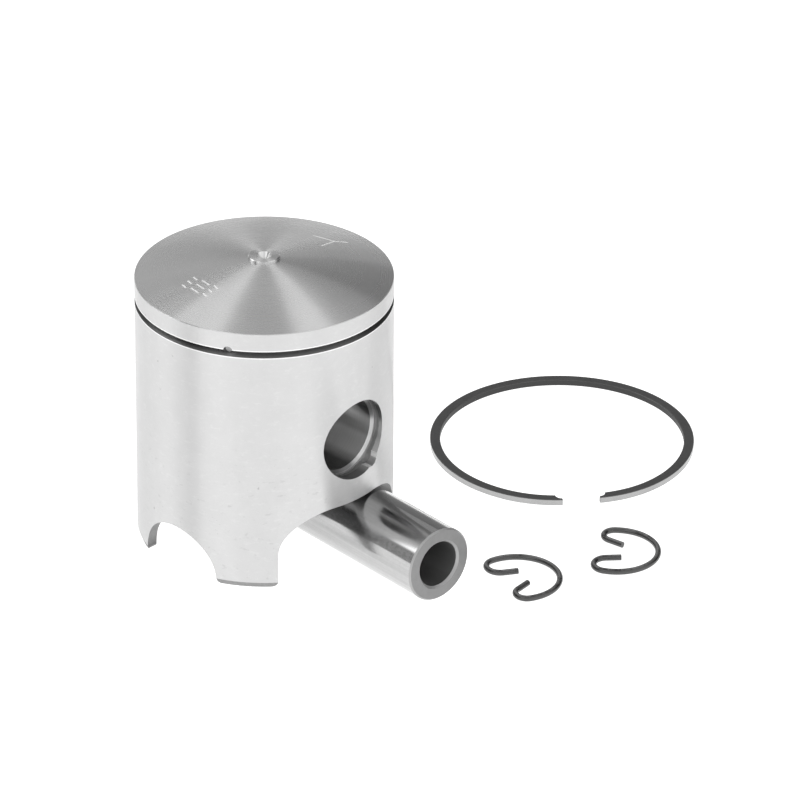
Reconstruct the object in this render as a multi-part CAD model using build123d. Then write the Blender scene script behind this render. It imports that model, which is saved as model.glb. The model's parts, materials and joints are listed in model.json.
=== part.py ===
from build123d import *
import math
import os

os.makedirs("parts", exist_ok=True)

# A single-ring two-stroke piston laid out as a kit: the piston stands on its skirt, the wrist pin
# lies on the surface with one end under the skirt, and the ring and the two wire clips lie beside them.
# Millimetres. The origin is on the piston's axis, on the surface that everything stands on.
# +X runs along the wrist pin bore, +Y is the exhaust side, -Y the intake side, +Z is up.

# Piston casting: the turned outside
PISTON_RADIUS = 20.0
CROWN_EDGE_HEIGHT = 44.0
CROWN_RISE = 3.0
CROWN_EDGE_BREAK = 0.08
SKIRT_CHAMFER_HEIGHT = 0.9
SKIRT_CHAMFER_DEPTH = 0.35
GROOVE_BOTTOM_HEIGHT = 39.96
GROOVE_WIDTH = 1.05
GROOVE_RADIUS = 18.1

# Piston casting: the boss that the lathe centre holds, in the middle of the crown
CENTRE_BOSS_RADIUS = 2.45
CENTRE_BOSS_HEIGHT = 0.4
CENTRE_BOSS_EDGE_BREAK = 0.12
CENTRE_CONE_RADIUS = 1.2
CENTRE_DRILL_RADIUS = 0.5
CENTRE_CONE_DEPTH = 1.2
CENTRE_DRILL_DEPTH = 2.6

# Piston casting: strokes engraved in the crown, as pairs of ends
STROKE_WIDTH = 0.28
STROKE_DEPTH = 0.06
ARROW_TIP = (2.2, 13.3)
ARROW_ENDS = [(-1.3, 12.1), (2.6, 10.0), (3.4, 15.1)]
HATCH_ROWS = [-11.0, -12.2, -13.4]
HATCH_COLUMNS = [(-4.6, -3.4), (-2.7, -0.7), (-0.1, 1.0)]
HATCH_SLANT = 0.18

# Piston casting: the hollow inside
SKIRT_INNER_RADIUS = 18.2
BELT_INNER_RADIUS = 16.4
BELT_TAPER_START = 27.0
BELT_TAPER_END = 33.5
CROWN_THICKNESS = 5.6
HOLLOW_CORNER_RADIUS = 6.0

# Piston casting: pin bosses, pin bore and clip grooves
PIN_HEIGHT = 22.6
PIN_BORE_RADIUS = 6.0
BOSS_RADIUS = 9.3
BOSS_GAP = 18.0
BOSS_WEB_WIDTH = 11.0
BOSS_EDGE_RADIUS = 0.6
CLIP_GROOVE_INNER_X = 17.15
CLIP_GROOVE_WIDTH = 1.05
CLIP_GROOVE_RADIUS = 6.9
CLIP_LAND_RADIUS = 6.5
BORE_CHAMFER_START_X = 16.8
NOTCH_RADIUS = 1.5
NOTCH_ANGLE = 36.0
NOTCH_OFFSET = 5.6

# Piston casting: cut-outs in the skirt
PIN_CUTOUT_HALF_WIDTH = 12.3
PIN_CUTOUT_HEIGHT = 12.3
PIN_CUTOUT_SHIFT = -0.55
PIN_CUTOUT_CORNER_REACH = 8.2
PIN_CUTOUT_CORNER_RISE = 6.7
INTAKE_ARCH_RADIUS = 7.5
INTAKE_ARCH_CENTRE_HEIGHT = 0.35
LUG_CORNER_RADIUS = 0.6
CUTTER_OVERRUN = 2.0

# Ring peg, pressed into the groove at the front left of the pin bore
PEG_RADIUS = 0.72
PEG_ANGLE = -61.8
PEG_INNER_RADIUS = 15.2
PEG_OUTER_RADIUS = 19.1
PEG_HEIGHT = 40.9
PEG_EDGE_BREAK = 0.15

# Piston ring, lying flat in its free shape
RING_OUTER_RADIUS = 21.1
RING_RADIAL_WIDTH = 1.6
RING_THICKNESS = 1.0
RING_CENTRE = (15.4, 52.1)
RING_GAP_DIRECTION = -39.1
RING_GAP_HALF_ANGLE = 8.6
RING_END_ARC_RADIUS = 17.0
RING_END_ARC_START = 145.0
RING_NOTCH_RADIUS = 1.1
RING_EDGE_BREAK = 0.08

# Wrist pin, lying on the surface with its far end inside the skirt
PIN_RADIUS = 5.98
PIN_HOLE_RADIUS = 3.7
PIN_HOLE_CHAMFER = 0.35
PIN_EDGE_BREAK = 0.25
PIN_LENGTH = 33.0
PIN_NEAR_END = (35.5, 1.8)
PIN_DIRECTION = -5.8

# Wire clips: one open loop whose two ends hook inward, one hook rounder than the other
CLIP_WIRE_RADIUS = 0.475
CLIP_LOOP_RADIUS = 6.63
CLIP_LOOP_HALF_ANGLE = 99.0
CLIP_WIDE_HOOK = {"radius": 2.1, "turn": 158.0, "tail": 2.4}
CLIP_TIGHT_HOOK = {"radius": 1.75, "turn": 144.0, "tail": 2.7}
CLIP_PLACES = {
    "circlip_front": {"centre": (40.4, 14.2), "middle": 69.5, "flipped": False},
    "circlip_rear": {"centre": (45.7, 31.1), "middle": 34.0, "flipped": True},
}


def on_circle(radius, angle):
    """A point at this angle, in degrees, on a circle about the origin."""
    return (radius * math.cos(math.radians(angle)), radius * math.sin(math.radians(angle)))


def turned(curve, axis=Axis.Z, plane=Plane.XZ):
    """A solid of revolution from a closed curve drawn in the plane."""
    return revolve(plane * make_face(curve), axis=axis)


def turned_outline(points, axis=Axis.Z, plane=Plane.XZ):
    return turned(Polyline(*points, close=True), axis, plane)


def crown_height(radius):
    """Height of the domed crown at this distance from the piston's axis."""
    dome_radius = (PISTON_RADIUS**2 + CROWN_RISE**2) / (2 * CROWN_RISE)
    drop = dome_radius - math.sqrt(dome_radius**2 - radius**2)
    return CROWN_EDGE_HEIGHT + CROWN_RISE - drop


def casting_outside():
    """The turned cylinder with its domed crown, chamfered skirt end and ring groove."""
    edge_radius = PISTON_RADIUS - CROWN_EDGE_BREAK
    top = (0, crown_height(0))
    side = Polyline(
        top,
        (0, 0),
        (PISTON_RADIUS - SKIRT_CHAMFER_DEPTH, 0),
        (PISTON_RADIUS, SKIRT_CHAMFER_HEIGHT),
        (PISTON_RADIUS, CROWN_EDGE_HEIGHT - CROWN_EDGE_BREAK),
        (edge_radius, crown_height(edge_radius)),
    )
    half_way = edge_radius / 2
    dome = ThreePointArc(
        (edge_radius, crown_height(edge_radius)), (half_way, crown_height(half_way)), top
    )
    outside = turned(side + dome)
    groove_top = GROOVE_BOTTOM_HEIGHT + GROOVE_WIDTH
    beyond = PISTON_RADIUS + CUTTER_OVERRUN
    groove = turned_outline(
        [
            (GROOVE_RADIUS, GROOVE_BOTTOM_HEIGHT),
            (beyond, GROOVE_BOTTOM_HEIGHT),
            (beyond, groove_top),
            (GROOVE_RADIUS, groove_top),
        ]
    )
    return outside - groove


def crown_centre_boss():
    """The low round boss on the middle of the crown, and the centre-drilled hole to cut from it."""
    top = crown_height(0) + CENTRE_BOSS_HEIGHT
    boss = turned_outline(
        [
            (0, crown_height(0) - CENTRE_BOSS_HEIGHT),
            (CENTRE_BOSS_RADIUS, crown_height(0) - CENTRE_BOSS_HEIGHT),
            (CENTRE_BOSS_RADIUS, top - CENTRE_BOSS_EDGE_BREAK),
            (CENTRE_BOSS_RADIUS - CENTRE_BOSS_EDGE_BREAK, top),
            (0, top),
        ]
    )
    hole = turned_outline(
        [
            (0, top + CUTTER_OVERRUN),
            (CENTRE_CONE_RADIUS, top + CUTTER_OVERRUN),
            (CENTRE_CONE_RADIUS, top),
            (CENTRE_DRILL_RADIUS, top - CENTRE_CONE_DEPTH),
            (CENTRE_DRILL_RADIUS, top - CENTRE_DRILL_DEPTH),
            (0, top - CENTRE_DRILL_DEPTH),
        ]
    )
    return boss, hole


def on_crown(x, y):
    return Vector(x, y, crown_height(math.hypot(x, y)))


def engraved_strokes():
    """Shallow straight strokes in the crown: an arrow towards the exhaust and a block of hatching."""
    strokes = [(ARROW_TIP, end) for end in ARROW_ENDS]
    for y in HATCH_ROWS:
        for left, right in HATCH_COLUMNS:
            strokes.append(((left, y + HATCH_SLANT), (right, y - HATCH_SLANT)))
    cutters = []
    for start, end in strokes:
        first = on_crown(*start)
        last = on_crown(*end)
        run = last - first
        middle = (first + last) / 2
        outward = Vector(middle.X, middle.Y, 0) * CROWN_RISE * 2 / PISTON_RADIUS**2 + Vector(0, 0, 1)
        plane = Plane(origin=middle, x_dir=run, z_dir=outward - run * (outward.dot(run) / run.dot(run)))
        cutters.append(plane * Box(run.length, STROKE_WIDTH, 2 * STROKE_DEPTH))
    return cutters


def hollow():
    """The space under the crown, before the pin bosses fill part of it."""
    roof = crown_height(0) - CROWN_THICKNESS
    outline = [
        (0, -CUTTER_OVERRUN),
        (SKIRT_INNER_RADIUS, -CUTTER_OVERRUN),
        (SKIRT_INNER_RADIUS, BELT_TAPER_START),
        (BELT_INNER_RADIUS, BELT_TAPER_END),
        (BELT_INNER_RADIUS, roof),
        (0, roof),
    ]
    space = turned_outline(outline)
    rim = space.edges().filter_by(GeomType.CIRCLE).sort_by(Axis.Z)[-1]
    return fillet(rim, HOLLOW_CORNER_RADIUS)


def pin_bosses():
    """Two bosses along X with webs that run up to the crown."""
    bosses = []
    for side in (-1, 1):
        middle = side * (BOSS_GAP / 4 + PISTON_RADIUS / 2)
        depth = PISTON_RADIUS - BOSS_GAP / 2
        boss = Pos(middle, 0, PIN_HEIGHT) * Rot(0, 90, 0) * Cylinder(BOSS_RADIUS, depth)
        inner_face = boss.faces().sort_by(Axis.X)[0 if side > 0 else -1]
        boss = fillet(inner_face.edges(), BOSS_EDGE_RADIUS)
        web_height = CROWN_EDGE_HEIGHT - PIN_HEIGHT
        web_depth = depth - 2 * BOSS_EDGE_RADIUS
        web_middle = side * (PISTON_RADIUS - web_depth / 2)
        web = Pos(web_middle, 0, PIN_HEIGHT + web_height / 2) * Box(web_depth, BOSS_WEB_WIDTH, web_height)
        bosses.append(boss + web)
    return bosses


def pin_bore():
    """The bore through both bosses, with a chamfer, a clip groove and an open land at each end."""
    groove_outer = CLIP_GROOVE_INNER_X + CLIP_GROOVE_WIDTH
    chamfer_end = CLIP_GROOVE_INNER_X
    beyond = PISTON_RADIUS + CUTTER_OVERRUN
    half = [
        (BORE_CHAMFER_START_X, PIN_BORE_RADIUS),
        (chamfer_end, CLIP_LAND_RADIUS),
        (chamfer_end, CLIP_GROOVE_RADIUS),
        (groove_outer, CLIP_GROOVE_RADIUS),
        (groove_outer, CLIP_LAND_RADIUS),
        (beyond, CLIP_LAND_RADIUS),
        (beyond, 0),
    ]
    mirrored = [(-x, r) for x, r in reversed(half)]
    bore = turned_outline(mirrored + half, axis=Axis.X)
    return Pos(0, 0, PIN_HEIGHT) * bore


def clip_notches():
    """A round notch in the open land at each bore mouth, where a pick reaches behind the clip."""
    notches = []
    y, z = on_circle(NOTCH_OFFSET, NOTCH_ANGLE - 90)
    length = PISTON_RADIUS + CUTTER_OVERRUN - CLIP_GROOVE_INNER_X
    for side in (-1, 1):
        middle = side * (CLIP_GROOVE_INNER_X + length / 2)
        notch = Rot(0, 90, 0) * Cylinder(NOTCH_RADIUS, length)
        notches.append(Pos(middle, y, PIN_HEIGHT + z) * notch)
    return notches


def peg_hole():
    """The blind radial hole that the ring peg is pressed into."""
    x, y = on_circle(1, PEG_ANGLE)
    start = Vector(x * PEG_INNER_RADIUS, y * PEG_INNER_RADIUS, PEG_HEIGHT)
    plane = Plane(origin=start, z_dir=(x, y, 0))
    return extrude(plane * Circle(PEG_RADIUS), PISTON_RADIUS + CUTTER_OVERRUN - PEG_INNER_RADIUS)


def pin_side_cutout():
    """The opening under both pin bosses: upright sides, two large rounded shoulders and a flat top."""
    centre = PIN_CUTOUT_HALF_WIDTH - PIN_CUTOUT_CORNER_REACH
    spring = PIN_CUTOUT_HEIGHT - PIN_CUTOUT_CORNER_RISE
    outline = flared_foot(PIN_CUTOUT_HALF_WIDTH, spring)
    outline += Line((centre, PIN_CUTOUT_HEIGHT), (-centre, PIN_CUTOUT_HEIGHT))
    for side, start in ((1, 0), (-1, 90)):
        outline += EllipticalCenterArc(
            (side * centre, spring), PIN_CUTOUT_CORNER_REACH, PIN_CUTOUT_CORNER_RISE, start, arc_size=90
        )
    face = Pos(PIN_CUTOUT_SHIFT, 0) * make_face(outline)
    return extrude(Plane.YZ * face, PISTON_RADIUS + CUTTER_OVERRUN, both=True)


def intake_arch():
    """The round arch in the intake side of the skirt."""
    spring = INTAKE_ARCH_CENTRE_HEIGHT + LUG_CORNER_RADIUS
    spring_x = math.sqrt(INTAKE_ARCH_RADIUS**2 - LUG_CORNER_RADIUS**2)
    arch = ThreePointArc(
        (spring_x, spring),
        (0, INTAKE_ARCH_CENTRE_HEIGHT + INTAKE_ARCH_RADIUS),
        (-spring_x, spring),
    )
    outline = arch + flared_foot(spring_x, spring)
    return extrude(Plane.XZ * make_face(outline), PISTON_RADIUS + CUTTER_OVERRUN)


def flared_foot(half_width, start_height):
    """The lower end of a cut-out: it flares at the skirt's end, which rounds the corners of the lugs."""
    flare = half_width + LUG_CORNER_RADIUS
    bulge = LUG_CORNER_RADIUS * (1 - math.cos(math.radians(45)))
    low = -CUTTER_OVERRUN
    right_flare = ThreePointArc(
        (flare, 0), (half_width + bulge, bulge), (half_width, LUG_CORNER_RADIUS)
    )
    left_flare = ThreePointArc(
        (-half_width, LUG_CORNER_RADIUS), (-half_width - bulge, bulge), (-flare, 0)
    )
    foot = left_flare + Polyline((-flare, 0), (-flare, low), (flare, low), (flare, 0)) + right_flare
    if start_height > LUG_CORNER_RADIUS:
        foot += Line((-half_width, start_height), (-half_width, LUG_CORNER_RADIUS))
        foot += Line((half_width, LUG_CORNER_RADIUS), (half_width, start_height))
    return foot


def piston_casting():
    inside = hollow()
    for boss in pin_bosses():
        inside -= boss
    centre_boss, centre_hole = crown_centre_boss()
    casting = casting_outside() + centre_boss - inside
    cutters = [centre_hole, pin_bore(), peg_hole(), pin_side_cutout(), intake_arch()]
    for cutter in cutters + clip_notches() + engraved_strokes():
        casting -= cutter
    return casting


def ring_peg():
    x, y = on_circle(1, PEG_ANGLE)
    start = Vector(x * PEG_INNER_RADIUS, y * PEG_INNER_RADIUS, PEG_HEIGHT)
    plane = Plane(origin=start, z_dir=(x, y, 0))
    peg = extrude(plane * Circle(PEG_RADIUS), PEG_OUTER_RADIUS - PEG_INNER_RADIUS)
    outer_face = peg.faces().sort_by(SortBy.DISTANCE)[-1]
    return chamfer(outer_face.edges(), PEG_EDGE_BREAK)


def ring_edge(offset):
    """The points of one edge of the ring seen from above: a long round back and two ends that curl in."""
    back_radius = RING_OUTER_RADIUS - RING_RADIAL_WIDTH / 2
    turn_in = back_radius - RING_END_ARC_RADIUS
    end_angle = 180 - RING_GAP_HALF_ANGLE
    sweep = (end_angle - RING_END_ARC_START) * back_radius / RING_END_ARC_RADIUS
    shift_x, shift_y = on_circle(turn_in, RING_END_ARC_START)
    joint = on_circle(back_radius + offset, RING_END_ARC_START)
    middle_x, middle_y = on_circle(RING_END_ARC_RADIUS + offset, RING_END_ARC_START + sweep / 2)
    tip_x, tip_y = on_circle(RING_END_ARC_RADIUS + offset, RING_END_ARC_START + sweep)
    upper = [(tip_x + shift_x, tip_y + shift_y), (middle_x + shift_x, middle_y + shift_y), joint]
    lower = [(x, -y) for x, y in reversed(upper)]
    return upper + [(back_radius + offset, 0)] + lower


def piston_ring():
    """A flat split ring lying on the surface, with a rounded peg notch in the inner side of each end."""
    outer = ring_edge(RING_RADIAL_WIDTH / 2)
    inner = ring_edge(-RING_RADIAL_WIDTH / 2)
    outline = Line(outer[0], inner[0]) + Line(outer[-1], inner[-1])
    for edge in (outer, inner):
        outline += ThreePointArc(*edge[0:3]) + ThreePointArc(*edge[2:5]) + ThreePointArc(*edge[4:7])
    band = extrude(make_face(outline), RING_THICKNESS)
    flat_faces = band.faces().filter_by(Axis.Z)
    band = chamfer(flat_faces.edges(), RING_EDGE_BREAK)
    for tip in (inner[0], inner[-1]):
        band -= Pos(*tip, RING_THICKNESS / 2) * Cylinder(RING_NOTCH_RADIUS, 2 * RING_THICKNESS)
    x, y = RING_CENTRE
    return Pos(x, y, 0) * Rot(0, 0, RING_GAP_DIRECTION - 180) * band


def wrist_pin():
    """A hollow ground pin lying on its side, with chamfered bore mouths and broken outer edges."""
    edge = PIN_RADIUS - PIN_EDGE_BREAK
    mouth = PIN_HOLE_RADIUS + PIN_HOLE_CHAMFER
    near_end = [
        (-PIN_HOLE_CHAMFER, PIN_HOLE_RADIUS),
        (0, mouth),
        (0, edge),
        (-PIN_EDGE_BREAK, PIN_RADIUS),
    ]
    far_end = [(-PIN_LENGTH - x, r) for x, r in reversed(near_end)]
    pin = turned_outline(near_end + far_end, axis=Axis.X)
    x, y = PIN_NEAR_END
    return Pos(x, y, PIN_RADIUS) * Rot(0, 0, PIN_DIRECTION) * pin


def clip_hook(hook, mirror):
    """The inward hook at one end of a clip's loop, as an arc and a straight tail."""
    start_angle = CLIP_LOOP_HALF_ANGLE
    turn, radius = hook["turn"], hook["radius"]
    centre_x, centre_y = on_circle(CLIP_LOOP_RADIUS - radius, start_angle)
    points = []
    for angle in (start_angle, start_angle + turn / 2, start_angle + turn):
        x, y = on_circle(radius, angle)
        points.append((centre_x + x, centre_y + y))
    x, y = on_circle(hook["tail"], start_angle + turn + 90)
    points.append((points[2][0] + x, points[2][1] + y))
    points = [(x, mirror * y) for x, y in points]
    return ThreePointArc(*points[0:3]) + Line(points[2], points[3]), points[3], points[2]


def circlip(place):
    """A round wire bent into an open loop with both ends hooked inward, lying flat."""
    first, second = CLIP_WIDE_HOOK, CLIP_TIGHT_HOOK
    if place["flipped"]:
        first, second = second, first
    upper, end, before_end = clip_hook(first, 1)
    lower, _, _ = clip_hook(second, -1)
    loop_end = on_circle(CLIP_LOOP_RADIUS, CLIP_LOOP_HALF_ANGLE)
    loop = ThreePointArc(loop_end, (CLIP_LOOP_RADIUS, 0), (loop_end[0], -loop_end[1]))
    path = upper + loop + lower
    heading = (before_end[0] - end[0], before_end[1] - end[1], 0)
    wire = sweep(Plane(origin=(*end, 0), z_dir=heading) * Circle(CLIP_WIRE_RADIUS), path=path)
    x, y = place["centre"]
    return Pos(x, y, CLIP_WIRE_RADIUS) * Rot(0, 0, place["middle"]) * wire


parts = {
    "piston_casting": piston_casting(),
    "ring_peg": ring_peg(),
    "piston_ring": piston_ring(),
    "wrist_pin": wrist_pin(),
}
for name, place in CLIP_PLACES.items():
    parts[name] = circlip(place)

for name, shape in parts.items():
    export_step(shape, f"parts/{name}.step")
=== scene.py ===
import json
import math

import bpy
from mathutils import Matrix, Vector


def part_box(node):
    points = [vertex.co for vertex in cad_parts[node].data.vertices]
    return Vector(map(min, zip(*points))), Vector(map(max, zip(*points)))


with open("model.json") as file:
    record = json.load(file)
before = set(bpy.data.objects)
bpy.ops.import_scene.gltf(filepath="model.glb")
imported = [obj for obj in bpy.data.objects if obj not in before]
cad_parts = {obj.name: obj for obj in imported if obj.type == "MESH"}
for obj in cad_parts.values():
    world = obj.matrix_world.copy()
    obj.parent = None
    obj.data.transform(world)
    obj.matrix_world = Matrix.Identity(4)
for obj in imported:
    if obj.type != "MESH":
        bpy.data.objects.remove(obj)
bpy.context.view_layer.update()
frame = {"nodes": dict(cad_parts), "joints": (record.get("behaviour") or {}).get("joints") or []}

MM = 0.001

# The piston's shape, in millimetres, as its materials need it to tell one surface from another
PISTON_RADIUS = 20.0
DOME_RADIUS = 68.167
DOME_TOP = 47.0
# The crown's materials start a little below its edge, which is at 44.0
CROWN_START = 43.8
CENTRE_HOLE_EDGE = 1.22
ENGRAVED_DEPTH = 0.032
GROOVE_LOW = 39.96
GROOVE_HIGH = 41.01
GROOVE_RADIUS = 18.1
BORE_HEIGHT = 22.6
BOSS_INNER_FACE = 8.9
CLIP_GROOVE_START = 17.15
CLIP_GROOVE_END = 18.2
CLIP_LAND_RADIUS = 6.5
NOTCH_Y = 3.29
NOTCH_Z = 18.07
NOTCH_RADIUS = 1.5
SKIRT_INNER_RADIUS = 18.2
FOOT_CHAMFER_TOP = 0.91
CUTOUT_TOP = 12.6
GROOVE_EDGE_LINE = 0.18


class Nodes:
    """A node tree, written as expressions: each method adds a node and returns its output socket."""

    def __init__(self, tree):
        self.tree = tree

    def add(self, kind, inputs=(), output=0, **settings):
        node = self.tree.nodes.new(kind)
        for key, value in settings.items():
            setattr(node, key, value)
        for key, value in dict(inputs).items():
            self.feed(node.inputs[key], value)
        return node.outputs[output]

    def feed(self, socket, value):
        if isinstance(value, bpy.types.NodeSocket):
            self.tree.links.new(value, socket)
        else:
            socket.default_value = value

    def math(self, operation, *values):
        return self.add("ShaderNodeMath", enumerate(values), operation=operation)

    def vector(self, operation, *values, output=0):
        return self.add("ShaderNodeVectorMath", enumerate(values), output, operation=operation)

    def xyz(self, x, y, z):
        return self.add("ShaderNodeCombineXYZ", {0: x, 1: y, 2: z})

    def split(self, vector):
        node = self.tree.nodes.new("ShaderNodeSeparateXYZ")
        self.feed(node.inputs[0], vector)
        return node.outputs

    def length2(self, a, b):
        return self.vector("LENGTH", self.xyz(a, b, 0.0), output=1)

    def above(self, value, limit, soft):
        """0 below the limit and 1 above it, smoothly over a width."""
        return self.add(
            "ShaderNodeMapRange",
            {0: value, 1: limit - soft / 2, 2: limit + soft / 2, 3: 0.0, 4: 1.0},
            interpolation_type="SMOOTHSTEP",
        )

    def below(self, value, limit, soft):
        return self.math("SUBTRACT", 1.0, self.above(value, limit, soft))

    def within(self, value, low, high, soft):
        return self.math("MULTIPLY", self.above(value, low, soft), self.below(value, high, soft))

    def both(self, *masks):
        result = masks[0]
        for mask in masks[1:]:
            result = self.math("MULTIPLY", result, mask)
        return result

    def either(self, *masks):
        result = masks[0]
        for mask in masks[1:]:
            result = self.math("MAXIMUM", result, mask)
        return result

    def blend(self, mask, first, second):
        """The first value where the mask is 0, the second where it is 1."""
        return self.add("ShaderNodeMix", {0: mask, 2: first, 3: second}, data_type="FLOAT")

    def blend_vector(self, mask, first, second):
        return self.add("ShaderNodeMix", {0: mask, 4: first, 5: second}, 1, data_type="VECTOR")

    def spread(self, value, low, high):
        """Maps a 0 to 1 value to low to high."""
        return self.add("ShaderNodeMapRange", {0: value, 1: 0.0, 2: 1.0, 3: low, 4: high})

    def noise(self, vector, scale, detail=2.0, roughness=0.5):
        inputs = {"Vector": vector, "Scale": scale, "Detail": detail, "Roughness": roughness}
        return self.add("ShaderNodeTexNoise", inputs)

    def scaled(self, value, mask, low, high):
        """The value times low where the mask is 0, and times high where it is 1."""
        return self.math("MULTIPLY", value, self.spread(mask, low, high))

    def specks(self, vector, scale, size):
        """1 inside small scattered dots, about one to each cell."""
        distance = self.add("ShaderNodeTexVoronoi", {"Vector": vector, "Scale": scale})
        return self.below(distance, size, size)

    def place(self):
        """Where the point is on the piece, in millimetres."""
        coordinates = self.add("ShaderNodeTexCoord", output=3)
        return self.vector("MULTIPLY", coordinates, (1 / MM, 1 / MM, 1 / MM))

    def grey(self, value):
        return self.xyz(value, value, value)

    def bump(self, height, strength, distance, normal=None):
        inputs = {"Height": height, "Strength": strength, "Distance": distance}
        if normal is not None:
            inputs["Normal"] = normal
        return self.add("ShaderNodeBump", inputs)


class Surface(Nodes):
    """One material and its nodes."""

    def __init__(self, name):
        self.material = bpy.data.materials.new(name)
        self.material.use_nodes = True
        super().__init__(self.material.node_tree)
        self.tree.nodes.clear()

    def finish(self, colour, roughness, normal=None, tangent=None, anisotropy=0.0, metal=1.0):
        principled = self.tree.nodes.new("ShaderNodeBsdfPrincipled")
        self.feed(principled.inputs["Base Color"], colour)
        self.feed(principled.inputs["Metallic"], metal)
        self.feed(principled.inputs["Roughness"], roughness)
        self.feed(principled.inputs["Anisotropic"], anisotropy)
        if normal is not None:
            self.feed(principled.inputs["Normal"], normal)
        if tangent is not None:
            self.feed(principled.inputs["Tangent"], tangent)
        output = self.tree.nodes.new("ShaderNodeOutputMaterial")
        self.tree.links.new(principled.outputs[0], output.inputs[0])
        return self.material


def across_grooves(s, groove_direction):
    """The direction square to the machining marks, in which they scatter the light."""
    normal = s.add("ShaderNodeNewGeometry", output=1)
    return s.vector("NORMALIZE", s.vector("CROSS_PRODUCT", normal, groove_direction))


def casting_material():
    """Aluminium: turned crown, lands and skirt, reamed pin bore, milled cut-outs and a cast inside."""
    s = Surface("piston_aluminium")
    place = s.place()
    x, y, z = s.split(place)
    normal_x = s.split(s.add("ShaderNodeTexCoord", output=1))[0]
    radius = s.length2(x, y)
    height_in_bore = s.math("SUBTRACT", z, BORE_HEIGHT)
    bore_distance = s.length2(y, height_in_bore)
    side = s.math("ABSOLUTE", x)
    angle = s.math("ARCTAN2", y, x)

    # Masks
    dome_centre = (0.0, 0.0, DOME_TOP - DOME_RADIUS)
    dome_distance = s.vector("DISTANCE", place, dome_centre, output=1)
    above_dome = s.math("SUBTRACT", dome_distance, DOME_RADIUS)
    crown = s.both(s.above(z, CROWN_START, 0.02), s.below(radius, PISTON_RADIUS - 0.1, 0.05))
    engraved = s.both(crown, s.below(above_dome, -ENGRAVED_DEPTH, 0.015), s.above(radius, 3.0, 0.1))
    centre_hole = s.both(crown, s.below(radius, CENTRE_HOLE_EDGE, 0.04))
    outside = s.above(radius, PISTON_RADIUS - 0.03, 0.02)
    in_groove = s.both(
        s.within(z, GROOVE_LOW - 0.01, GROOVE_HIGH + 0.01, 0.01),
        s.within(radius, GROOVE_RADIUS - 0.05, PISTON_RADIUS - 0.02, 0.02),
    )
    bore = s.both(
        s.below(bore_distance, CLIP_LAND_RADIUS + 0.45, 0.04),
        s.above(side, BOSS_INNER_FACE, 0.1),
        s.below(s.math("ABSOLUTE", normal_x), 0.9, 0.05),
    )
    clip_groove = s.both(
        s.within(side, CLIP_GROOVE_START - 0.02, CLIP_GROOVE_END + 0.02, 0.02),
        s.below(bore_distance, 7.6, 0.1),
    )
    # Painted highlight: a bright line along each outer edge of the ring groove
    upper_line = s.within(z, GROOVE_HIGH, GROOVE_HIGH + GROOVE_EDGE_LINE, 0.04)
    lower_line = s.within(z, GROOVE_LOW - GROOVE_EDGE_LINE, GROOVE_LOW, 0.04)
    groove_edge_highlights = s.both(outside, s.either(upper_line, lower_line))
    notch_distance = s.length2(s.math("SUBTRACT", y, NOTCH_Y), s.math("SUBTRACT", z, NOTCH_Z))
    # Painted highlight: the wall of the notch at the bore's outer end is painted bright
    notch_highlight = s.both(
        s.within(notch_distance, NOTCH_RADIUS - 0.06, NOTCH_RADIUS + 0.06, 0.04),
        s.above(side, CLIP_GROOVE_END, 0.02),
        bore,
    )
    foot_chamfer = s.both(
        s.below(z, FOOT_CHAMFER_TOP, 0.02),
        s.within(radius, PISTON_RADIUS - 0.5, PISTON_RADIUS - 0.01, 0.02),
    )
    edge_faces = s.both(
        s.within(radius, SKIRT_INNER_RADIUS + 0.02, PISTON_RADIUS - 0.02, 0.03),
        s.below(z, CUTOUT_TOP, 0.1),
        s.below(bore_distance, 40.0, 0.1),
    )
    inside = s.both(
        s.below(radius, SKIRT_INNER_RADIUS + 0.03, 0.02),
        s.below(z, CROWN_START - 2.0, 0.5),
        s.math("SUBTRACT", 1.0, bore),
    )

    # Machining marks: rings on the crown, threads of the tool round the outside, reaming in the bore
    ring_marks = s.noise(s.xyz(radius, 0.0, s.math("MULTIPLY", angle, 0.12)), 2.6, 1.5, 0.6)
    turn_marks = s.noise(s.xyz(0.0, s.math("MULTIPLY", angle, 0.5), z), 3.5, 2.0, 0.6)
    bore_marks = s.noise(s.xyz(side, 0.0, 0.0), 4.0, 2.0, 0.6)
    cast_grain = s.noise(place, 2.2, 5.0, 0.65)
    cloud = s.noise(place, 0.22, 3.0, 0.6)
    fine_cloud = s.noise(s.vector("MULTIPLY", place, (1.0, 1.0, 0.55)), 1.1, 4.0, 0.7)
    low_down = s.below(z, 22.0, 16.0)
    wander = s.add("ShaderNodeTexNoise", {"Vector": place, "Scale": 2.5}, 1)
    ragged = s.vector("MULTIPLY_ADD", wander, (0.5, 0.5, 0.5), place)
    pitted = s.above(s.noise(place, 0.23, 1.0), 0.54, 0.04)
    pits = s.both(s.specks(ragged, 0.35, 0.065), outside, pitted)
    finely_pitted = s.above(s.noise(place, 0.30, 2.0), 0.53, 0.06)
    small_pits = s.both(s.specks(ragged, 0.9, 0.085), outside, finely_pitted, low_down)
    unrolled = s.xyz(s.math("MULTIPLY", angle, PISTON_RADIUS), 0.0, s.math("MULTIPLY", z, 2.0))
    pale_dabs = s.both(s.above(s.noise(unrolled, 0.6, 6.0, 0.8), 0.58, 0.14), outside)
    dark_dabs = s.both(s.above(s.noise(unrolled, 0.55, 5.0, 0.75), 0.62, 0.10), outside, low_down)
    bore_angle = s.math("DEGREES", s.math("ARCTAN2", height_in_bore, y))
    # Shading in the bore that is part of its colour: it doesn't come from the lights
    bore_painted_shade = s.either(s.within(bore_angle, 4, 36, 12), s.within(bore_angle, -130, -72, 14))
    bore_painted_highlight = s.within(bore_angle, -60, -24, 10)

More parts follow.
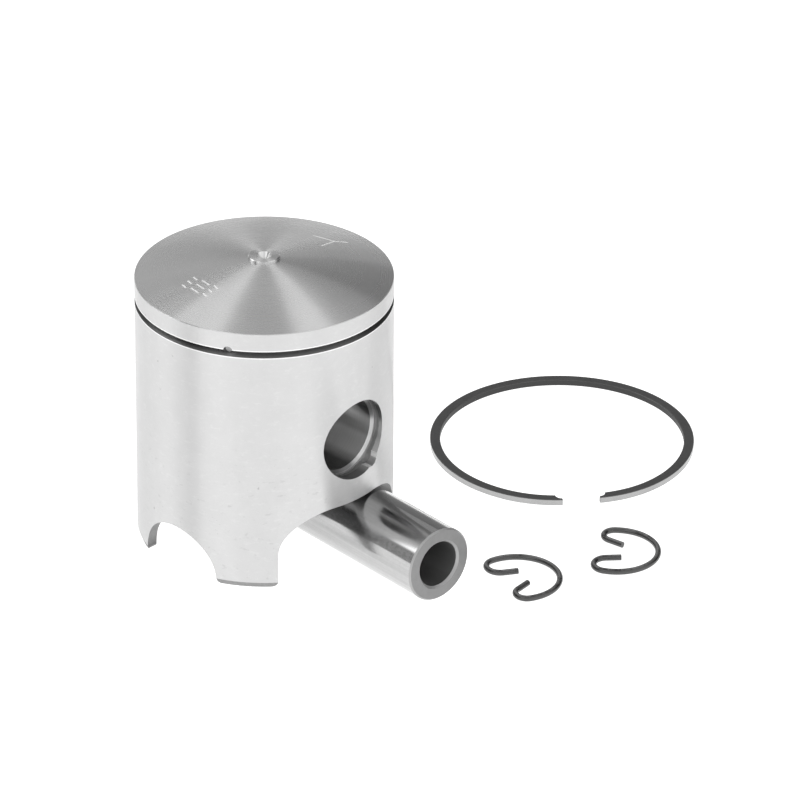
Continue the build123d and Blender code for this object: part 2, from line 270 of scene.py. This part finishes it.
    # Brightness
    tone = s.spread(cloud, 0.62, 0.68)
    tone = s.scaled(tone, fine_cloud, 0.965, 1.03)
    crown_tone = s.scaled(s.spread(ring_marks, 0.695, 0.735), cloud, 0.94, 1.05)
    tone = s.blend(crown, tone, crown_tone)
    tone = s.blend(engraved, tone, 1.0)
    # Painted shade: the ring groove is painted dark, and its upward-facing lower face less dark
    tone = s.blend(in_groove, tone, s.blend(s.below(z, GROOVE_LOW + 0.05, 0.02), 0.08, 0.34))
    # The bore's tone: its reaming marks, with the painted shade and painted highlight bands put in
    reamed_with_painted_bands = s.scaled(s.spread(bore_marks, 0.44, 0.56), bore_painted_shade, 1.0, 0.42)
    tone = s.blend(bore, tone, s.scaled(reamed_with_painted_bands, bore_painted_highlight, 1.0, 1.3))
    tone = s.blend(clip_groove, tone, 0.45)
    tone = s.blend(foot_chamfer, tone, 0.68)
    # Painted highlight along the ring groove's edges
    tone = s.blend(groove_edge_highlights, tone, 0.95)
    # Painted highlight on the notch's wall
    tone = s.blend(notch_highlight, tone, 1.0)
    tone = s.blend(edge_faces, tone, s.spread(cast_grain, 0.34, 0.50))
    tone = s.blend(inside, tone, s.spread(cast_grain, 0.40, 0.53))
    tone = s.scaled(tone, pale_dabs, 1.0, 1.06)
    tone = s.scaled(tone, dark_dabs, 1.0, 0.88)
    tone = s.blend(s.math("MULTIPLY", pits, 0.5), tone, 0.30)
    tone = s.blend(s.math("MULTIPLY", small_pits, 0.35), tone, 0.36)

    # Roughness
    rough = s.spread(fine_cloud, 0.31, 0.39)
    rough = s.blend(crown, rough, s.spread(ring_marks, 0.25, 0.29))
    rough = s.blend(centre_hole, rough, 0.22)
    rough = s.blend(engraved, rough, 0.65)
    rough = s.blend(in_groove, rough, 0.5)
    rough = s.blend(bore, rough, s.spread(bore_marks, 0.28, 0.36))
    rough = s.blend(s.both(bore, s.above(side, CLIP_GROOVE_END, 0.02)), rough, 0.45)
    rough = s.blend(edge_faces, rough, 0.55)
    rough = s.blend(inside, rough, 0.6)

    # Relief
    turned = s.blend(crown, s.math("MULTIPLY", turn_marks, outside), ring_marks)
    turned = s.blend(bore, turned, bore_marks)
    normal = s.bump(turned, s.blend(crown, 0.25, 0.08), 0.012 * MM)
    rough_metal = s.either(inside, edge_faces)
    grain = s.math("MULTIPLY", cast_grain, rough_metal)
    normal = s.bump(grain, 0.8, 0.12 * MM, normal)
    normal = s.bump(s.math("MULTIPLY", s.either(pits, small_pits), -1.0), 0.6, 0.05 * MM, normal)

    around_axis = s.xyz(s.math("MULTIPLY", y, -1.0), x, 0.0)
    around_bore = s.xyz(0.0, s.math("MULTIPLY", height_in_bore, -1.0), y)
    grooves = s.blend_vector(s.either(bore, clip_groove), around_axis, around_bore)
    tangent = across_grooves(s, grooves)
    metal = s.blend(engraved, 1.0, 0.0)
    return s.finish(s.grey(tone), rough, normal, tangent, 1.0, metal)


def pin_material():
    """Ground and polished steel, with satin turned ends and a dark drilled bore."""
    s = Surface("wrist_pin_steel")
    low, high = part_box("wrist_pin")
    direction = next(joint["axis"] for joint in frame["joints"] if joint["child"] == "wrist_pin")
    axis = Vector(direction).normalized()
    centre = (low + high) / 2 / MM
    sideways = Vector((axis.y, -axis.x, 0.0))
    place = s.vector("SUBTRACT", s.place(), tuple(centre))
    along = s.vector("DOT_PRODUCT", place, tuple(axis), output=1)
    on_axis = s.vector("SCALE", tuple(axis))
    s.feed(on_axis.node.inputs["Scale"], along)
    from_axis = s.vector("SUBTRACT", place, on_axis)
    distance = s.vector("LENGTH", from_axis, output=1)
    normal = s.add("ShaderNodeTexCoord", output=1)
    facing = s.math("ABSOLUTE", s.vector("DOT_PRODUCT", normal, tuple(axis), output=1))
    ends = s.above(facing, 0.95, 0.04)
    edges = s.within(facing, 0.4, 0.95, 0.05)
    hole = s.both(s.below(distance, 3.9, 0.1), s.below(facing, 0.4, 0.05))
    grind = s.noise(s.xyz(along, 0.0, 0.0), 3.5, 2.0, 0.6)
    streaks = s.noise(place, 0.5, 3.0, 0.6)
    smear = s.noise(place, 1.6, 4.0, 0.7)
    tone = s.spread(smear, 0.43, 0.51)
    # Shading round the pin that is part of its colour: it doesn't come from the lights
    across = s.vector("DOT_PRODUCT", place, tuple(sideways), output=1)
    round_pin = s.math("DEGREES", s.math("ARCTAN2", across, s.split(place)[2]))
    drawn_out = s.xyz(s.math("MULTIPLY", round_pin, 0.12), s.math("MULTIPLY", along, 0.02), 0.0)
    tone = s.scaled(tone, s.noise(drawn_out, 1.0, 4.0, 0.65), 0.72, 1.20)
    tone = s.scaled(tone, s.within(round_pin, -17, 14, 12), 1.0, 0.62)
    blotches = s.above(s.noise(place, 1.3, 5.0, 0.75), 0.50, 0.06)
    tone = s.scaled(tone, s.both(s.within(round_pin, 55, 68, 6), blotches), 1.0, 0.84)
    tone = s.blend(ends, tone, s.spread(streaks, 0.22, 0.28))
    tone = s.blend(edges, tone, 0.40)
    tone = s.blend(hole, tone, 0.30)
    rough = s.math("ADD", s.spread(grind, 0.10, 0.15), s.spread(smear, 0.0, 0.05))
    rough = s.blend(ends, rough, 0.42)
    rough = s.blend(edges, rough, 0.5)
    rough = s.blend(hole, rough, 0.45)
    turned_end = s.noise(s.xyz(distance, 0.0, 0.0), 6.0, 3.0, 0.7)
    relief = s.bump(s.blend(ends, grind, turned_end), 0.2, 0.01 * MM)
    groove_direction = s.vector("CROSS_PRODUCT", tuple(axis), from_axis)
    tangent = across_grooves(s, groove_direction)
    return s.finish(s.grey(tone), rough, relief, tangent, 0.6)


def ring_material():
    """Cast iron: dark phosphated flat sides and a bright ground face outside."""
    s = Surface("ring_iron")
    low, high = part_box("piston_ring")
    place = s.place()
    middle = ((low + high) / 2 / MM).to_tuple()
    outward = s.vector("NORMALIZE", s.vector("SUBTRACT", place, middle))
    normal = s.add("ShaderNodeTexCoord", output=1)
    facing = s.vector("DOT_PRODUCT", normal, outward, output=1)
    outer = s.above(facing, 0.75, 0.1)
    inner = s.below(facing, -0.75, 0.1)
    grain = s.noise(place, 3.5, 5.0, 0.7)
    cloud = s.noise(place, 0.25, 3.0, 0.6)
    tone = s.scaled(s.spread(grain, 0.095, 0.155), cloud, 0.85, 1.2)
    tone = s.blend(inner, tone, 0.065)
    tone = s.blend(outer, tone, s.spread(cloud, 0.32, 0.42))
    rough = s.blend(outer, s.spread(grain, 0.42, 0.58), 0.25)
    relief = s.bump(grain, 0.35, 0.03 * MM)
    return s.finish(s.grey(tone), rough, relief)


def wire_material():
    """Dark drawn spring wire with faint marks along its length, and a painted highlight on its
    upward-facing side.
    """
    s = Surface("spring_wire")
    place = s.place()
    grain = s.noise(place, 4.0, 5.0, 0.7)
    cloud = s.noise(place, 0.6, 3.0, 0.6)
    tone = s.scaled(s.spread(grain, 0.09, 0.14), cloud, 0.85, 1.15)
    upward = s.split(s.add("ShaderNodeTexCoord", output=1))[2]
    # Painted highlight: where the wire faces upward it is painted lighter, in patches
    painted_top_highlight = s.both(s.above(upward, 0.80, 0.25), s.above(cloud, 0.40, 0.2))
    tone = s.scaled(tone, painted_top_highlight, 0.85, 2.1)
    rough = s.spread(cloud, 0.22, 0.34)
    relief = s.bump(grain, 0.3, 0.02 * MM)
    return s.finish(s.grey(tone), rough, relief)


def peg_material():
    """Plain steel with a faintly scratched end."""
    s = Surface("peg_steel")
    place = s.place()
    grain = s.noise(place, 6.0, 4.0, 0.7)
    return s.finish(s.grey(s.spread(grain, 0.26, 0.38)), 0.4, s.bump(grain, 0.3, 0.02 * MM))


def dress(node, material):
    mesh = frame["nodes"][node].data
    mesh.materials.clear()
    mesh.materials.append(material)


dress("piston_casting", casting_material())
dress("wrist_pin", pin_material())
dress("piston_ring", ring_material())
dress("ring_peg", peg_material())
wire = wire_material()
dress("circlip_front", wire)
dress("circlip_rear", wire)


# Camera: angles, distance and framing of the reference view, in metres and millimetres of lens
CAMERA_AZIMUTH = math.radians(43.2)
CAMERA_ELEVATION = math.radians(28.12)
CAMERA_DISTANCE = 1.1158
CAMERA_ROLL = math.radians(0.284)
CAMERA_LENS = 323.7
SENSOR_WIDTH = 36.0
AIM_HEIGHT = 0.02227
AIM_RIGHT = 0.02097


def make_camera():
    sin_a, cos_a = math.sin(CAMERA_AZIMUTH), math.cos(CAMERA_AZIMUTH)
    sin_e, cos_e = math.sin(CAMERA_ELEVATION), math.cos(CAMERA_ELEVATION)
    back = Vector((sin_a * cos_e, -cos_a * cos_e, sin_e))
    right = Vector((cos_a, sin_a, 0.0))
    up = back.cross(right)
    aim = Vector((0.0, 0.0, AIM_HEIGHT)) + right * AIM_RIGHT
    tilted_right = right * math.cos(CAMERA_ROLL) + up * math.sin(CAMERA_ROLL)
    tilted_up = up * math.cos(CAMERA_ROLL) - right * math.sin(CAMERA_ROLL)
    camera = bpy.data.objects.new("camera", bpy.data.cameras.new("camera"))
    camera.data.lens = CAMERA_LENS
    camera.data.sensor_width = SENSOR_WIDTH
    camera.data.clip_start = 0.01
    turn = Matrix((tilted_right, tilted_up, back)).transposed().to_4x4()
    camera.matrix_world = Matrix.Translation(aim + back * CAMERA_DISTANCE) @ turn
    bpy.context.scene.collection.objects.link(camera)
    bpy.context.scene.camera = camera


def camera_side(angle, elevation, distance):
    """A point this many degrees to the right of the camera as seen from the piston, and this high."""
    azimuth = CAMERA_AZIMUTH + math.radians(angle)
    rise = math.radians(elevation)
    level = math.cos(rise)
    return distance * Vector((math.sin(azimuth) * level, -math.cos(azimuth) * level, math.sin(rise)))


def softbox(name, angle, elevation, distance, width, height, power):
    light = bpy.data.objects.new(name, bpy.data.lights.new(name, "AREA"))
    light.data.shape = "RECTANGLE"
    light.data.size = width
    light.data.size_y = height
    light.data.energy = power
    light.location = camera_side(angle, elevation, distance)
    light.rotation_euler = (-light.location).to_track_quat("-Z", "Y").to_euler()
    bpy.context.scene.collection.objects.link(light)


FLOOR_HALF_WIDTH = 3.0
FLOOR_DROP = 0.00002
FLOOR_GREY = (0.45, 0.45, 0.45, 1.0)
FLOOR_GLOW = 1.08
WHITE = (1.0, 1.0, 1.0, 1.0)


def make_floor():
    """A pale floor just under the parts, which glows so that no shadows show."""
    half = FLOOR_HALF_WIDTH
    mesh = bpy.data.meshes.new("floor")
    corners = [(-half, -half, 0), (half, -half, 0), (half, half, 0), (-half, half, 0)]
    mesh.from_pydata(corners, [], [(0, 1, 2, 3)])
    floor = bpy.data.objects.new("floor", mesh)
    bpy.context.scene.collection.objects.link(floor)
    floor.location.z = -FLOOR_DROP
    s = Surface("floor_white")
    diffuse = s.add("ShaderNodeBsdfDiffuse", {"Color": FLOOR_GREY})
    glow = s.add("ShaderNodeEmission", {"Color": WHITE, "Strength": FLOOR_GLOW})
    output = s.tree.nodes.new("ShaderNodeOutputMaterial")
    s.tree.links.new(s.add("ShaderNodeAddShader", {0: diffuse, 1: glow}), output.inputs[0])
    mesh.materials.append(s.material)


# The bands of light and dark below were set against the tones of the reference view.
# Walls: from and to which angle right of the camera, lowest and highest rise, softness, brightness
WALLS = (
    (-180, 180, -1.0, 0.30, 1, 0.60),
    (-150, -70, -1.0, 0.34, 6, 0.30),
    (-58, 100, -1.0, 0.85, 8, 1.00),
    (15, 78, -1.0, 0.85, 16, 1.15),
    (-98, -83, 0.03, 0.38, 6, 0.50),
    (-69, -57, -1.0, 0.75, 3, 0.02),
    (-128, -86, 0.43, 0.72, 8, 2.60),
    (106, 150, -1.0, 0.60, 12, 0.12),
)
# Strips overhead: from and to which turn, nearest and farthest reach, softness, brightness
STRIPS = (
    (-400, 400, -1.0, 0.62, 1, 0.47),
    (-142, -62, -1.0, 0.62, 4, 0.52),
    (-45.5, -20, -1.0, 0.75, 3, 1.04),
    (12.5, 31.5, -1.0, 0.75, 5, 1.04),
    (42, 62, -1.0, 0.62, 6, 0.38),
    (62, 101, -1.0, 0.62, 5, 0.22),
    (101, 118, -1.0, 0.62, 6, 0.36),
    (118, 142, -1.0, 0.62, 6, 0.41),
    (-62, -47, 0.38, 0.70, 2, 0.16),
    (160, 400, -1.0, 0.62, 6, 0.41),
    (-400, -165, -1.0, 0.62, 6, 0.41),
    (-165, -144, -1.0, 0.62, 8, 0.56),
    (142, 160, -1.0, 0.62, 6, 0.51),
)


def make_world():
    """Pale walls, a grey ceiling and strips that fan out overhead, which the metal reflects."""
    world = bpy.data.worlds.new("studio")
    bpy.context.scene.world = world
    world.use_nodes = True
    s = Nodes(world.node_tree)
    background = s.tree.nodes["Background"]
    direction = s.add("ShaderNodeTexCoord", output=0)
    rise = s.split(direction)[2]
    ahead = s.vector("DOT_PRODUCT", direction, tuple(camera_side(0, 0, 1.0)), output=1)
    right = s.vector("DOT_PRODUCT", direction, tuple(camera_side(90, 0, 1.0)), output=1)
    around = s.math("DEGREES", s.math("ARCTAN2", right, ahead))
    light = s.blend(s.above(rise, 0.55, 0.5), 0.42, 0.40)
    for start, end, low, high, soft, brightness in WALLS:
        patch = s.both(s.within(around, start, end, soft), s.within(rise, low, high, 0.08))
        light = s.blend(patch, light, brightness)
    # The strips start where the camera looks along the mirror of its own height, behind the piston
    from_mirror = s.math("ADD", ahead, math.cos(CAMERA_ELEVATION))
    turn = s.math("DEGREES", s.math("ARCTAN2", right, from_mirror))
    reach = s.length2(from_mirror, right)
    for start, end, near, far, soft, brightness in STRIPS:
        patch = s.both(s.within(turn, start, end, soft), s.within(reach, near, far, 0.1))
        light = s.blend(patch, light, brightness)
    # To the camera itself the room is plain white, so that the floor has no edge
    seen = s.add("ShaderNodeLightPath")
    light = s.blend(seen, light, 1.0)
    background.inputs["Color"].default_value = WHITE
    s.feed(background.inputs["Strength"], light)


make_camera()
make_floor()
make_world()
softbox("softbox_front_left", -50, 45, 1.3, 0.8, 0.6, 1.2)

bpy.context.scene.view_settings.view_transform = "Standard"
